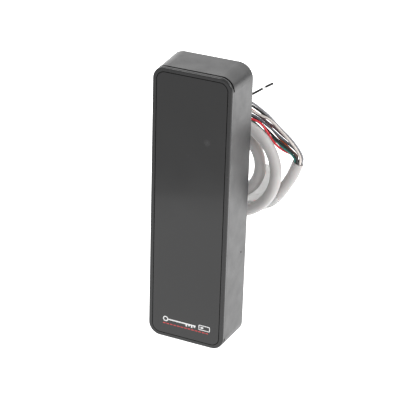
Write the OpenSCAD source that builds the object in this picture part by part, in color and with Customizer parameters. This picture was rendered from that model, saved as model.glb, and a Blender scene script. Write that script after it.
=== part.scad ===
// Wall reader for access cards: a slim drafted case that hangs on a wall bracket,
// with its jacketed lead wound in a small coil behind it.
// The wall is the plane y = 0, the front faces -Y, +Z is up, and the origin is the
// middle of the bracket's two wall screws.

/* [Case] */
// Width of the case at its front edge
case_w = 41; // [41:0.5:44]
// Height of the case at its front edge
case_h = 144; // [144:0.5:148]
// Depth from the wall to the front
case_d = 22.5; // [22.5:0.5:25]
// How much wider the case is at the wall, on each side
flare = 1; // [0.4:0.1:1]
// Corner radius of the front outline
corner_r = 6.5; // [6:0.1:7]

/* [Bezel and panel] */
// Width of the bezel seen from the front
bezel_w = 2.1; // [1.9:0.1:2.3]
// Gap between the bezel and the front panel
panel_gap = 0.35; // [0.2:0.05:0.5]
// Radius of the rounded outer edge of the bezel
bezel_round = 0.9; // [0.5:0.1:1]
// Width of the seam between the bezel and the case
seam_w = 0.8; // [0.4:0.1:0.8]
// Depth of that seam
seam_deep = 1; // [0.5:0.1:1]

/* [Wall bracket] */
// Spacing of the two wall screws
screw_spacing = 83.3; // [80:0.1:84]
// Diameter of the wall screw holes
screw_hole_d = 4.2; // [3.6:0.1:4.6]
// Thickness of the bracket plate
plate_t = 1.4; // [1:0.1:1.6]
// Diameter of the opening that the cable passes through
cable_opening_d = 13; // [11:0.5:14]

/* [Cable] */
// Outside diameter of the cable's jacket
cable_d = 5.8; // [5.4:0.1:5.8]
// Outside diameter of one insulated conductor
wire_d = 1.2; // [0.9:0.05:1.2]

/* [Hidden] */

$fn = 48;
eps = 0.01;                     // overlap that joins pieces of one solid
mm_small = 0.1;                 // a small assembly gap

// Levels along Y, from the front to the wall
y_front = -case_d;
y_panel_back = y_front + 1.8;
y_bezel_back = y_front + 1.3;
y_case_front = y_bezel_back + seam_w;
y_cavity = -18.5;
y_pcb = -15.2;                  // front of the circuit board
pcb_t = 1.6;
y_pcb_back = y_pcb + pcb_t;
y_ledge = -4.8;                 // where the gasket sits
y_cover = -4.2;                 // front of the rear cover
y_cover_back = -2.6;
y_rim = -0.5;                   // rear rim of the case, just off the wall

// Outline: centres of the corner arcs, shared by every depth
arc_x = case_w / 2 - corner_r;
arc_z = case_h / 2 - corner_r;
wall_t = 2;
cavity_r = corner_r - wall_t;
edge = 0.3;                     // bevel on the case's outer edges
cavity_top = 62.6;
cavity_bottom = -60.8;
ledge_w = 0.8;                  // width of the gasket's ledge

// Front panel
panel_r = corner_r - bezel_w - panel_gap;
panel_x = arc_x + panel_r;
panel_z = arc_z + panel_r;
led_x = 8.6;
led_z = 38.4;
pipe_r = 1.25;                  // light pipe behind the panel
pipe_gap = 0.05;

// Sound outlet in the right side
vent_d = 1;
vent_y = -5.9;
vent_z = -23.7;
membrane_r = 2;
membrane_y = -6.9;

// Hanging bar and the hooks that carry it
bar_y = -3.55;
bar_z = 68.6;
bar_r = 1.1;
hook_w = 5;
hook_x = 8;
hook_t = 1.1;
hook_pocket_x = 14;
hook_pocket_bottom = 65;
hook_pocket_y = -8;
pocket_top = 70.8;
hook_foot = 66.3;               // underside of the hooks
hook_reach = -5.9;              // how far the hooks come forward
plate_x = 18.8;
plate_top = 64.6;
plate_bottom = -69;
plate_r = 4;
plate_gap = 0.6;                // room left round the plate in the back of the case

// Locking screw through the bottom wall into the bracket's tab
lock_y = -5;
tab_top = -64;
tab_bottom = -67.5;
foot_pocket_x = 7;
foot_pocket_top = -63.3;
foot_pocket_bottom = -68;
foot_pocket_y = -9.5;
head_seat_z = -70;
head_r = 2.7;
head_h = 2.1;
shank_r = 1.45;
thread_bore_r = 1.5;
insert_r = 2.1;
wall_slot_w = 3.4;
head_slot_w = 6.2;

// Circuit board and its bosses
pcb_x = 16.5;
pcb_top = 56.6;
pcb_bottom = -54.6;
pcb_holes = [for (x = [-13.5, 13.5], z = [-51.4, 53.6]) [x, z]];
cover_holes = [for (x = [-13.6, 13.6], z = [-57.8, 59.6]) [x, z]];
pcb_boss_r = 2.2;
cover_boss_r = 2.3;
pilot_r = 1;
screw_r = 0.95;
// Antenna bobbin, a frame with a flange and an inner wall
bobbin_x = 17.6;
bobbin_z = 48;
bobbin_r = 4;
flange_w = 3.4;
winding_w = 2;
winding_gap = 0.05;
y_flange = -17.9;
// Where the cable leaves the case
exit_x = -8;
exit_z = 54;
cable_r = cable_d / 2;
grommet_end = -1;
// Tamper sensor looks through the cover here
tamper_x = 9;
tamper_z = 22;

// Cable coil: the front turn, and the smaller turns behind it
coil_x = 7;
coil_z = 13.5;
coil_front = 7;
coil_step = 13;
coil_back = 17;
coil_outer_r = 27.4;
coil_inner_r = 11.5;
coil_rear_r = 23.2;

// Mouth of the jacket at the cable's free end
mouth = [40.2, 16, 19.9];
mouth_dir = [0.342, 0, 0.94];
mouth_side = [0.94, 0, -0.342];
wire_ring_r = 1.8;              // eight conductors round the edge
wire_pair_r = 0.6;              // and two in the middle

// Route of the cable from the case to the coil
lead_route = [[exit_x, -0.9, exit_z], [-8, 4, 54], [-8.1, 9.2, 52.9], [-8.6, 13.6, 49.6],
    [-9.6, 16.2, 44.6], [-11, 16.6, 39], [-12.8, 15.2, 33], [-14.8, 12.4, 26.8],
    [-16.4, 10.6, 20.4], [-17.2, 10, 13.5]];
// Route of the last of the cable, from the back of the coil to the cut end
tail_route = [[4.4, 17.8, -10.2], [10.6, 17.4, -11], [16.8, 16.8, -9.6], [22.4, 16.4, -6.6],
    [27.4, 16, -3.2], [31, 16, 0.8], [34.2, 16, 6], [37.4, 16, 12.2], mouth];

// Routes of the conductors, from the jacket's mouth to their ends
grey_route = [[42.2, 16.2, 22.6], [40.1, 16.4, 26.2], [35.7, 16.6, 30.8], [29.9, 16.8, 35.2],
    [24.2, 16.8, 40], [20, 16.6, 43], [14, 16.4, 46.2], [6, 16.6, 48.6], [-3, 18.6, 50],
    [-12, 21, 49.6]];
white_route = [[41.6, 14.7, 22.6], [39.8, 14.8, 26.2], [35.6, 15, 30.6], [30.4, 15.2, 35],
    [25, 15.4, 39], [20.4, 15.4, 40.6], [14, 15.2, 42.4], [5, 15.4, 44], [-4, 18, 45.2],
    [-13, 21, 45]];
brown_route = [[41.4, 17.6, 22.4], [39.2, 17.8, 25.8], [35, 17.4, 29.2], [30.6, 16.4, 32.6],
    [26.4, 15.8, 35.9], [22.2, 15.7, 38.3], [16, 16.6, 40.8], [8, 17.2, 42.4], [-3, 19, 42],
    [-12, 21.2, 40.8]];
slate_route = [[40.9, 16.2, 22.6], [38.6, 16.2, 25.8], [34, 15.6, 29.2], [29.8, 14.9, 32.3],
    [24.5, 14.6, 36], [17, 14.8, 39.9], [9, 15.2, 41.2], [1, 17.2, 40.6], [-5, 19, 39.4],
    [-13, 21, 38.4]];
black_route = [[40.2, 13.9, 22.6], [38, 13.8, 25.4], [32, 14, 28.8], [28, 14.4, 31.2],
    [24, 15.2, 33.7], [19.6, 15.6, 36.6], [15, 16.4, 38.8], [7, 17, 39], [-3, 18.8, 37.4],
    [-12, 21, 36]];
orange_route = [[39.4, 15.6, 22.6], [37, 15.6, 25.2], [32.6, 15.6, 28.6], [28, 16.2, 32],
    [23, 17, 36.2], [19.6, 17.9, 38.9], [14, 18.4, 41.2], [5, 19, 44.4], [-4, 20.2, 46.6],
    [-12, 21.2, 47.2]];
red_route = [[38.2, 16, 22.4], [36.2, 15.6, 23.8], [33.2, 14.8, 25], [30, 13.8, 27.1],
    [27, 13.8, 29.7], [25, 13.8, 32.3], [23.1, 13.8, 34.7], [21.1, 13.8, 36.7],
    [18.2, 13.8, 38.1], [13, 14, 38.6], [4, 14.6, 37.2], [-4, 17.6, 35.4], [-13, 21, 33.8]];
green_route = [[38.6, 14.4, 22.6], [36.2, 14.2, 25], [32.4, 14.2, 27], [28.6, 14.8, 29.2],
    [24.8, 15.4, 31], [21.2, 15.8, 32.8], [18, 16.2, 34.7], [12, 17.7, 36.8], [3, 18, 35.8],
    [-5, 19, 33.8], [-13, 21, 32]];
yellow_route = [[38.6, 17.6, 22.4], [35.8, 17.8, 24.4], [31.6, 17.8, 26.2], [27, 17.8, 28],
    [22.7, 17.8, 29.7], [19.6, 17.8, 31.8], [14, 18.2, 34.6], [5, 19, 34.2], [-4, 20.2, 32.2],
    [-13, 21.2, 30.2]];
sleeved_route = [[40.2, 18.4, 22.6], [37.6, 18.9, 25.4], [33, 18.9, 29.4], [28.6, 18.7, 33.2],
    [24.6, 18.4, 37], [20.3, 17.7, 40.5], [14.3, 17.4, 43.8], [8.5, 16.6, 45.7],
    [4.6, 14.6, 46.8], [4.2, 11.8, 47.4], [8, 10.2, 48.4], [13.4, 10, 51], [18.3, 10, 54.2],
    [23.5, 10, 58.1], [27.3, 10, 60.7]];

black_plastic = [0.17, 0.17, 0.175];
glossy_black = [0.06, 0.06, 0.065];
jacket_grey = [0.8, 0.785, 0.78];
steel = [0.7, 0.7, 0.72];
board_green = [0.05, 0.27, 0.15];
chip_black = [0.1, 0.1, 0.1];
rubber_black = [0.12, 0.12, 0.12];

// ---- Shapes shared by several pieces ----

// Radius of the outline's corner arcs at depth y; it grows evenly from the front to the wall
function outline_r(y) = corner_r + flare * (y + case_d) / case_d;

// Solid between two depths with the case's drafted outline, moved in by in0 and in1 at its ends
module drafted_block(y0, y1, in0 = 0, in1 = 0) {
    r0 = outline_r(y0) - in0;
    r1 = outline_r(y1) - in1;
    for (sx = [-1, 1], sz = [-1, 1])
        translate([sx * arc_x, y0, sz * arc_z])
            rotate([-90, 0, 0]) cylinder(h = y1 - y0, r1 = r0, r2 = r1);
    linear_extrude(height = 2 * arc_z, center = true)
        polygon([[-arc_x - r0, y0], [arc_x + r0, y0], [arc_x + r1, y1], [-arc_x - r1, y1]]);
    rotate([90, 0, 90]) linear_extrude(height = 2 * arc_x, center = true)
        polygon([[y0, -arc_z - r0], [y0, arc_z + r0], [y1, arc_z + r1], [y1, -arc_z - r1]]);
}

// Flat outline with round corners, standing between two depths
module upright_plate(half_x, z0, z1, r, y0, y1) {
    translate([0, y1, 0]) rotate([90, 0, 0]) linear_extrude(height = y1 - y0) {
        translate([-half_x, z0 + r]) square([2 * half_x, z1 - z0 - 2 * r]);
        translate([-half_x + r, z0]) square([2 * half_x - 2 * r, z1 - z0]);
        for (x = [-half_x + r, half_x - r], z = [z0 + r, z1 - r])
            translate([x, z]) circle(r = r);
    }
}

// Cylinder along Y from one depth to another
module rod_y(x, z, r, y0, y1) {
    translate([x, y0, z]) rotate([-90, 0, 0]) cylinder(h = y1 - y0, r = r);
}

// Box from its low corner to its high corner
module block(low, high) {
    translate(low) cube(high - low);
}

// A 2D section, drawn as [distance from the arc's centre, depth], carried round the outline
module carried_round() {
    for (side = [0 : 3]) {
        long = side % 2 == 0;
        reach_x = long ? arc_x : arc_z;
        reach_z = long ? arc_z : arc_x;
        rotate([0, 90 * side, 0]) {
            translate([reach_x, 0, -reach_z]) rotate([-90, 0, 0])
                rotate_extrude(angle = 90) children();
            translate([reach_x, 0, 0]) linear_extrude(height = 2 * reach_z, center = true)
                children();
        }
    }
}

// ---- Tubes swept along a route ----

// Catmull-Rom point between b and c, at t from 0 to 1
function spline_point(a, b, c, d, t) = 0.5 * (2 * b + (c - a) * t
    + (2 * a - 5 * b + 4 * c - d) * t * t + (3 * b - a - 3 * c + d) * t * t * t);
// The route with steps points for each of its spans
function smooth_route(p, steps) = let (n = len(p) - 1) concat(
    [for (i = [0 : n - 1], k = [0 : steps - 1]) spline_point(
        i > 0 ? p[i - 1] : 2 * p[0] - p[1], p[i], p[i + 1],
        i < n - 1 ? p[i + 2] : 2 * p[n] - p[n - 1], k / steps)], [p[n]]);
function unit(v) = v / norm(v);
// Direction of the line at point i
function heading(p, i) = unit(p[min(i + 1, len(p) - 1)] - p[max(i - 1, 0)]);
// The direction and the side vector of every ring, with the side carried on without twist
function frames(p, first, side, i = 0) = i == len(p) ? [] :
    let (t = i == 0 ? first : heading(p, i), a = unit(side - (side * t) * t))
    concat([[t, a]], frames(p, first, a, i + 1));
// A ring of points about p in the plane square to its frame's direction
function ring(p, frame, r, sides) = let (b = cross(frame[0], frame[1]))
    [for (k = [0 : sides - 1]) p + r * (cos(360 * k / sides) * frame[1]
        + sin(360 * k / sides) * b)];

// Tube of radius r along a route; first is the direction that its first ring faces
module tube(route, r, sides, steps, first) {
    line = smooth_route(route, steps);
    n = len(line);
    turns = frames(line, first, abs(first[0]) < 0.9 ? [1, 0, 0] : [0, 0, 1]);
    points = [for (i = [0 : n - 1]) each ring(line[i], turns[i], r, sides)];
    faces = concat([[for (k = [0 : sides - 1]) k]],
        [for (i = [0 : n - 2], k = [0 : sides - 1]) let (a = i * sides, m = (k + 1) % sides)
            [a + k, a + sides + k, a + sides + m, a + m]],
        [[for (k = [sides - 1 : -1 : 0]) (n - 1) * sides + k]]);
    polyhedron(points = points, faces = faces, convexity = 6);
}

// A place on the jacket's mouth, at radius r and angle a, where 90 is away from the viewer
function mouth_place(r, a) = mouth + r * (cos(a) * mouth_side + sin(a) * [0, 1, 0]);

// One conductor from its place in the mouth along its route
module conductor(r, a, route) {
    tube(concat([mouth_place(r, a)], route), wire_d / 2, 8, 2, mouth_dir);
}

// ---- Wall bracket ----

module wall_bracket() {
    tab_half = 5;
    tab_y = -8.5;
    lip_t = 1.1;
    lip_h = 2.9;
    color(steel) difference() {
        union() {
            upright_plate(plate_x, plate_bottom, plate_top, plate_r, -plate_t, 0);
            for (x = [-hook_x, hook_x]) translate([x - hook_w / 2, 0, 0]) {
                block([0, -plate_t, 60], [hook_w, 0, hook_foot + eps]);
                block([0, hook_reach, hook_foot], [hook_w, 0, hook_foot + hook_t]);
                block([0, hook_reach, hook_foot], [hook_w, hook_reach + lip_t, hook_foot + lip_h]);
            }
            block([-tab_half, tab_y, tab_bottom], [tab_half, -plate_t + eps, tab_top]);
        }
        for (z = [-screw_spacing / 2, screw_spacing / 2])
            rod_y(0, z, screw_hole_d / 2, -plate_t - 1, 1);
        rod_y(exit_x, exit_z, cable_opening_d / 2, -plate_t - 1, 1);
        translate([0, lock_y, tab_bottom - 1]) cylinder(h = 6, r = insert_r);
    }
}

module tab_insert() {
    color([0.78, 0.62, 0.3]) translate([0, lock_y, tab_bottom]) difference() {
        cylinder(h = tab_top - tab_bottom, r = insert_r);
        translate([0, 0, -1]) cylinder(h = 6, r = thread_bore_r);
    }
}

module tamper_reflector() {
    reflector_r = 3;
    reflector_t = 0.2;
    color("white") rod_y(tamper_x, tamper_z, reflector_r, -plate_t - reflector_t, -plate_t);
}

// Button-head screw with a six-sided recess and a security pin in it
module locking_screw() {
    recess_r = 1.35;
    recess_h = 1.2;
    pin_r = 0.45;
    color(steel) translate([0, lock_y, head_seat_z]) {
        cylinder(h = tab_top - head_seat_z, r = shank_r);
        difference() {
            translate([0, 0, -head_h]) cylinder(h = head_h, r = head_r);
            translate([0, 0, -head_h - eps]) cylinder(h = recess_h, r = recess_r, $fn = 6);
        }
        translate([0, 0, -head_h]) cylinder(h = recess_h + mm_small, r = pin_r);
    }
}

// ---- Case ----

module main_housing() {
    spigot_r = corner_r - seam_deep;
    spigot_inner = 4.2;
    y_flush = y_case_front + edge;
    past = 1;                   // how far a cut runs past the wall plane
    below = -80;                // lower than the case reaches
    boss_floor = y_cavity - eps;
    pilot_end = -12.5;
    room_top = 67;
    seat_gap = 0.15;            // lets the case tilt off the screw's head
    color(black_plastic) {
        difference() {
            union() {
                drafted_block(y_case_front, y_case_front + edge, edge, 0);
                drafted_block(y_case_front + edge, y_rim - edge);
                drafted_block(y_rim - edge, y_rim, 0, edge);
            }
            // electronics, then the rebate for the gasket and the cover
            upright_plate(arc_x + cavity_r, cavity_bottom, cavity_top, cavity_r, y_cavity, past);
            upright_plate(arc_x + cavity_r + ledge_w, cavity_bottom - 1, cavity_top + 1,
                cavity_r - 0.2, y_ledge, past);
            // shallow room for the bracket plate
            upright_plate(plate_x + plate_gap, plate_bottom - plate_gap, room_top,
                plate_r + plate_gap, y_cover_back, past);
            // pocket for the hooks
            block([-hook_pocket_x, hook_pocket_y, hook_pocket_bottom],
                [hook_pocket_x, past, pocket_top]);
            // pocket for the tab
            block([-foot_pocket_x, foot_pocket_y, foot_pocket_bottom],
                [foot_pocket_x, past, foot_pocket_top]);
            // slots for the locking screw, open towards the wall
            translate([0, lock_y, below]) cylinder(h = tab_bottom - below, r = wall_slot_w / 2);
            block([-wall_slot_w / 2, lock_y, below], [wall_slot_w / 2, past, tab_bottom]);
            translate([0, lock_y, below])
                cylinder(h = head_seat_z + seat_gap - below, r = head_slot_w / 2);
            block([-head_slot_w / 2, lock_y, below],
                [head_slot_w / 2, past, head_seat_z + seat_gap]);
            // light pipe and sound outlet
            rod_y(led_x, led_z, pipe_r + pipe_gap, y_front, y_cavity + 1);
            translate([15, vent_y, vent_z]) rotate([0, 90, 0]) cylinder(h = 8, r = vent_d / 2);
        }
        // ring that carries the bezel
        carried_round() translate([spigot_inner, y_bezel_back])
            square([spigot_r - spigot_inner, seam_w + eps]);
        // along the long sides the case closes up to the bezel, so the seam shows at the ends
        linear_extrude(height = 2 * arc_z, center = true) for (s = [-1, 1])
            polygon([[s * (arc_x + spigot_inner), y_bezel_back], [s * (arc_x + corner_r), y_bezel_back],
                [s * (arc_x + outline_r(y_flush)), y_flush], [s * (arc_x + spigot_inner), y_flush]]);
        // bosses for the board and for the cover
        for (p = pcb_holes) difference() {
            rod_y(p[0], p[1], pcb_boss_r, boss_floor, y_pcb);
            rod_y(p[0], p[1], pilot_r, boss_floor + 0.2, y_pcb + 1);
        }
        for (p = cover_holes) difference() {
            rod_y(p[0], p[1], cover_boss_r, boss_floor, y_cover);
            rod_y(p[0], p[1], pilot_r, pilot_end, y_cover + 1);
        }
        // hanging bar across the hook pocket
        translate([-hook_pocket_x - 0.5, bar_y, bar_z]) rotate([0, 90, 0])
            cylinder(h = 2 * hook_pocket_x + 1, r = bar_r);
    }
}

// Frame round the front panel, with its outer edge rounded
module bezel_frame() {
    inner = corner_r - bezel_w;
    turn = corner_r - bezel_round;
    color(black_plastic) carried_round() intersection() {
        translate([inner, y_front]) square([bezel_w, y_bezel_back - y_front]);
        union() {
            translate([inner, y_front]) square([turn - inner, y_bezel_back - y_front]);
            translate([inner, y_front + bezel_round])
                square([bezel_w, y_bezel_back - y_front - bezel_round]);
            translate([turn, y_front + bezel_round]) circle(r = bezel_round);
        }
    }
}

module front_panel() {
    color(glossy_black)
        upright_plate(panel_x, -panel_z, panel_z, panel_r, y_front, y_panel_back);
}

// Sheet of adhesive with a window for the light
module panel_adhesive() {
    margin = 0.6;
    window_r = 1.8;
    color([0.9, 0.9, 0.85]) difference() {
        upright_plate(panel_x - margin, -panel_z + margin, panel_z - margin, panel_r - margin,
            y_panel_back, y_case_front);
        rod_y(led_x, led_z, window_r, y_panel_back - 1, y_case_front + 1);
    }
}

module led_light_pipe() {
    flange_r = 2.1;
    color([0.9, 0.95, 1]) {
        rod_y(led_x, led_z, pipe_r, y_panel_back, -16.3);
        rod_y(led_x, led_z, flange_r, y_cavity, y_flange);
    }
}

// ---- Antenna ----

// A flat frame: the outline less the same outline moved in by w
module flat_frame(half_x, half_z, r, w, y0, y1) {
    difference() {
        upright_plate(half_x, -half_z, half_z, r, y0, y1);
        upright_plate(half_x - w, w - half_z, half_z - w, max(r - w, 0.6), y0 - 1, y1 + 1);
    }
}

module antenna_bobbin() {
    wall_w = 0.8;
    wall_in = flange_w - wall_w;
    color([0.85, 0.85, 0.8]) {
        flat_frame(bobbin_x, bobbin_z, bobbin_r, flange_w, y_cavity, y_flange);
        flat_frame(bobbin_x - wall_in, bobbin_z - wall_in, bobbin_r - wall_in, wall_w,
            y_flange - eps, -15.6);
    }
}

module antenna_winding() {
    inset = flange_w - 0.8 - winding_w - winding_gap;
    color([0.75, 0.4, 0.2])
        flat_frame(bobbin_x - inset, bobbin_z - inset, bobbin_r - inset, winding_w,
            y_flange, -16.2);
}

// ---- Circuit board ----

module main_pcb() {
    hole_r = 1.1;
    color(board_green) difference() {
        upright_plate(pcb_x, pcb_bottom, pcb_top, 1.5, y_pcb, y_pcb_back);
        for (p = pcb_holes) rod_y(p[0], p[1], hole_r, y_pcb - 1, y_pcb_back + 1);
    }
}

module pcb_screws() {
    head = 1.2;
    color(steel) for (p = pcb_holes) {
        rod_y(p[0], p[1], screw_r, -18, y_pcb_back + eps);
        rod_y(p[0], p[1], 1.9, y_pcb_back, y_pcb_back + head);
    }
}

// A square chip on its skirt of leads
module chip(x, z, half, skirt, high) {
    leads_t = 0.3;
    block([x - skirt, y_pcb_back, z - skirt], [x + skirt, y_pcb_back + leads_t, z + skirt]);
    block([x - half, y_pcb_back, z - half], [x + half, y_pcb_back + high, z + half]);
}

module controller_chip() {
    color(chip_black) chip(x = 3, z = 4, half = 5, skirt = 6, high = 1.4);
}

module radio_chip() {
    color(chip_black) chip(x = -6, z = -12, half = 3, skirt = 3.5, high = 0.9);
}

// Its body, and its tab and leads as one strip
module voltage_regulator() {
    regulator_x = 9.25;
    regulator_z = -42.5;
    color(chip_black) translate([regulator_x, y_pcb_back, regulator_z]) {
        block([-3.25, 0, -1.5], [3.25, 1.6, 2]);
        block([-1.55, 0, -4.5], [1.55, 0.3, 4.5]);
    }
}

module power_inductor() {
    half = 3.5;
    drum_r = 2.9;
    high = 4;
    flange = 1;
    color([0.3, 0.3, 0.3]) translate([0, y_pcb_back, -42.5]) difference() {
        upright_plate(half, -half, half, 1.2, 0, high);
        difference() {
            rod_y(0, 0, half + 2, flange, high - flange);
            rod_y(0, 0, drum_r, 0, high);
        }
    }
}

module clock_crystal() {
    crystal_x = -8;
    crystal_z = 6;
    high = 3.4;
    color(steel) translate([crystal_x, y_pcb_back, crystal_z])
        upright_plate(2.2, -5.4, 5.4, 2, 0, high);
}

module reservoir_capacitors() {
    can_x = -10;
    can_r = 3.15;
    can_h = 5.4;
    base = 3.3;
    color([0.75, 0.75, 0.78]) for (z = [-44, -35]) translate([can_x, y_pcb_back, z]) {
        block([-base, 0, -base], [base, 0.5, base]);
        rod_y(0, 0, can_r, 0, can_h);
    }
}

module status_led() {
    color([0.95, 0.95, 0.9])
        block([led_x - 1.6, y_pcb - 1, led_z - 1.4], [led_x + 1.6, y_pcb, led_z + 1.4]);
}

// Round sounder whose spout points at the outlet
module buzzer() {
    buzzer_x = 7.5;
    buzzer_r = 6;
    spout_y = -9;
    color(chip_black) difference() {
        union() {
            rod_y(buzzer_x, vent_z, buzzer_r, y_pcb_back, -7);
            translate([buzzer_x, spout_y, vent_z]) rotate([0, 90, 0]) cylinder(h = 9, r = 1.8);
        }
        translate([buzzer_x + 3, spout_y, vent_z]) rotate([0, 90, 0]) cylinder(h = 9, r = 1.1);
    }
}

module vent_membrane() {
    inner_wall = arc_x + cavity_r;
    membrane_t = 0.2;
    color("white") translate([inner_wall - membrane_t, membrane_y, vent_z])
        rotate([0, 90, 0]) cylinder(h = membrane_t, r = membrane_r);
}

module tamper_sensor() {
    color(chip_black) block([tamper_x - 1.6, y_pcb_back, tamper_z - 2.2],
        [tamper_x + 1.6, y_pcb_back + 2, tamper_z + 2.2]);
}

module tamper_light_pipe() {
    color([0.9, 0.95, 1]) {
        rod_y(tamper_x, tamper_z, 1.5, y_pcb_back + 2.1, y_cover_back);
        rod_y(tamper_x, tamper_z, 2.2, y_cover - 0.8, y_cover);
    }
}

// ---- Wires inside the case ----

lead_pitch = 2;
lead_r = 0.5;
plug_x = -13;
plug_bottom = 41;
plug_top = 47;
header_w = 22;

module wire_header() {
    wall = 0.8;
    low = plug_bottom - 1;
    color("ivory") difference() {
        block([plug_x, y_pcb_back, low], [plug_x + header_w, -8.6, plug_top - 1]);
        block([plug_x + wall, y_pcb_back + 1, low + wall],
            [plug_x + header_w - wall, -8, plug_top]);
    }
}

module crimp_plug() {
    slack = 0.9;
    color([0.92, 0.9, 0.84]) block([plug_x + slack, y_pcb_back + 1.1, plug_bottom],
        [plug_x + header_w - slack, -8.2, plug_top]);
}

// The ten conductors from the end of the jacket to the plug, in the order of the plug's pins
module inner_leads() {
    seats = [[1.78, 180], [1.78, 135], [1.78, 225], [0.62, 202], [1.78, 90],
        [1.78, 270], [0.62, 22], [1.78, 45], [1.78, 315], [1.78, 0]];
    color("firebrick") for (i = [0 : 9]) {
        seat = [exit_x + seats[i][0] * cos(seats[i][1]), 0, exit_z + seats[i][0] * sin(seats[i][1])];
        pin_x = plug_x + lead_pitch * (i + 1);
        tube([seat + [0, -6.6, 0], [(seat[0] * 2 + pin_x) / 3, -8.6, seat[2] - 1.6],
            [(seat[0] + pin_x) / 2, -10.2, 51], [pin_x, -10.6, plug_top + 1.2],
            [pin_x, -10.6, plug_top]], lead_r, 8, 3, [0, -1, 0]);
    }
}

module inner_jacket() {
    color(jacket_grey) rod_y(exit_x, exit_z, cable_r, -6.6, grommet_end);
}

module cable_grommet() {
    body_r = 4.2;
    flange_r = 5.2;
    color(rubber_black) difference() {
        union() {
            rod_y(exit_x, exit_z, body_r, y_cover - 1, grommet_end);
            rod_y(exit_x, exit_z, flange_r, y_cover - 1, y_cover);
            rod_y(exit_x, exit_z, flange_r, y_cover_back, y_cover_back + 0.8);
        }
        rod_y(exit_x, exit_z, cable_r, y_cover - 2, 0);
    }
}

// ---- Rear cover ----

module seal_gasket() {
    color([0.25, 0.25, 0.27]) difference() {
        upright_plate(arc_x + cavity_r + ledge_w, cavity_bottom - 1, cavity_top + 1,
            cavity_r - 0.2, y_ledge, y_cover);
        upright_plate(arc_x + cavity_r, cavity_bottom, cavity_top, cavity_r, y_ledge - 1,
            y_cover + 1);
    }
}

module rear_cover() {
    gap = mm_small;
    head_sink = 1.1;
    color(black_plastic) difference() {
        upright_plate(arc_x + cavity_r + ledge_w - gap, cavity_bottom - 1 + gap,
            cavity_top + 1 - gap, cavity_r - 0.2, y_cover, y_cover_back);
        rod_y(exit_x, exit_z, 4.2, y_cover - 1, y_cover_back + 1);
        rod_y(tamper_x, tamper_z, 1.5, y_cover - 1, y_cover_back + 1);
        for (p = cover_holes) {
            rod_y(p[0], p[1], 1.1, y_cover - 1, y_cover_back + 1);
            rod_y(p[0], p[1], 1.9, y_cover_back - head_sink, y_cover_back + 1);
        }
    }
}

module cover_screws() {
    head = 1.1;
    color(steel) for (p = cover_holes) {
        rod_y(p[0], p[1], screw_r, -12, y_cover_back - head + eps);
        rod_y(p[0], p[1], 1.8, y_cover_back - head, y_cover_back);
    }
}

// ---- Cable ----

module cable_lead() {
    color(jacket_grey) tube(lead_route, cable_r, 12, 3, [0, 1, 0]);
}

// Outer shape of the wound turns
module cable_coil() {
    color(jacket_grey) translate([coil_x, 0, coil_z]) rotate([-90, 0, 0])
        rotate_extrude($fn = 96) {
            translate([coil_inner_r, coil_front])
                square([coil_outer_r - coil_inner_r, coil_step - coil_front]);
            translate([coil_inner_r, coil_front])
                square([coil_rear_r - coil_inner_r, coil_back - coil_front]);
        }
}

module cable_tail() {
    color(jacket_grey) tube(tail_route, cable_r, 12, 3, unit(tail_route[1] - tail_route[0]));
}

// Blank label folded round the jacket near its cut end
module cable_flag() {
    flag_t = 0.3;
    color("white") translate([0, coil_back + flag_t, 0]) rotate([90, 0, 0])
        linear_extrude(height = flag_t)
            polygon([[24, 15], [11, 15], [10, -8], [17, -12], [31, -1], [30, 4]]);
}

module wire_grey() { color([0.5, 0.5, 0.53]) conductor(wire_ring_r, 0, grey_route); }
module wire_brown() { color([0.35, 0.24, 0.26]) conductor(wire_ring_r, 45, brown_route); }
module wire_sleeved() { color([0.1, 0.1, 0.1]) conductor(wire_ring_r, 90, sleeved_route); }
module wire_yellow() { color([0.85, 0.7, 0.1]) conductor(wire_ring_r, 135, yellow_route); }
module wire_red() { color([0.85, 0.12, 0.16]) conductor(wire_ring_r, 180, red_route); }
module wire_green() { color([0.2, 0.45, 0.43]) conductor(wire_ring_r, 225, green_route); }
module wire_black() { color([0.08, 0.08, 0.08]) conductor(wire_ring_r, 270, black_route); }
module wire_white() { color([0.85, 0.8, 0.77]) conductor(wire_ring_r, 315, white_route); }
module wire_slate() { color([0.3, 0.32, 0.36]) conductor(wire_pair_r, 22.5, slate_route); }
module wire_orange() { color([0.75, 0.25, 0.12]) conductor(wire_pair_r, 202.5, orange_route); }

wall_bracket();
tab_insert();
tamper_reflector();
locking_screw();
main_housing();
bezel_frame();
front_panel();
panel_adhesive();
led_light_pipe();
antenna_bobbin();
antenna_winding();
main_pcb();
pcb_screws();
controller_chip();
radio_chip();
voltage_regulator();
power_inductor();
clock_crystal();
reservoir_capacitors();
status_led();
buzzer();
vent_membrane();
tamper_sensor();
tamper_light_pipe();
wire_header();
crimp_plug();
inner_leads();
inner_jacket();
cable_grommet();
seal_gasket();
rear_cover();
cover_screws();
cable_lead();
cable_coil();
cable_tail();
cable_flag();
wire_grey();
wire_white();
wire_brown();
wire_slate();
wire_black();
wire_orange();
wire_red();
wire_green();
wire_yellow();
wire_sleeved();
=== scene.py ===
import math

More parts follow.
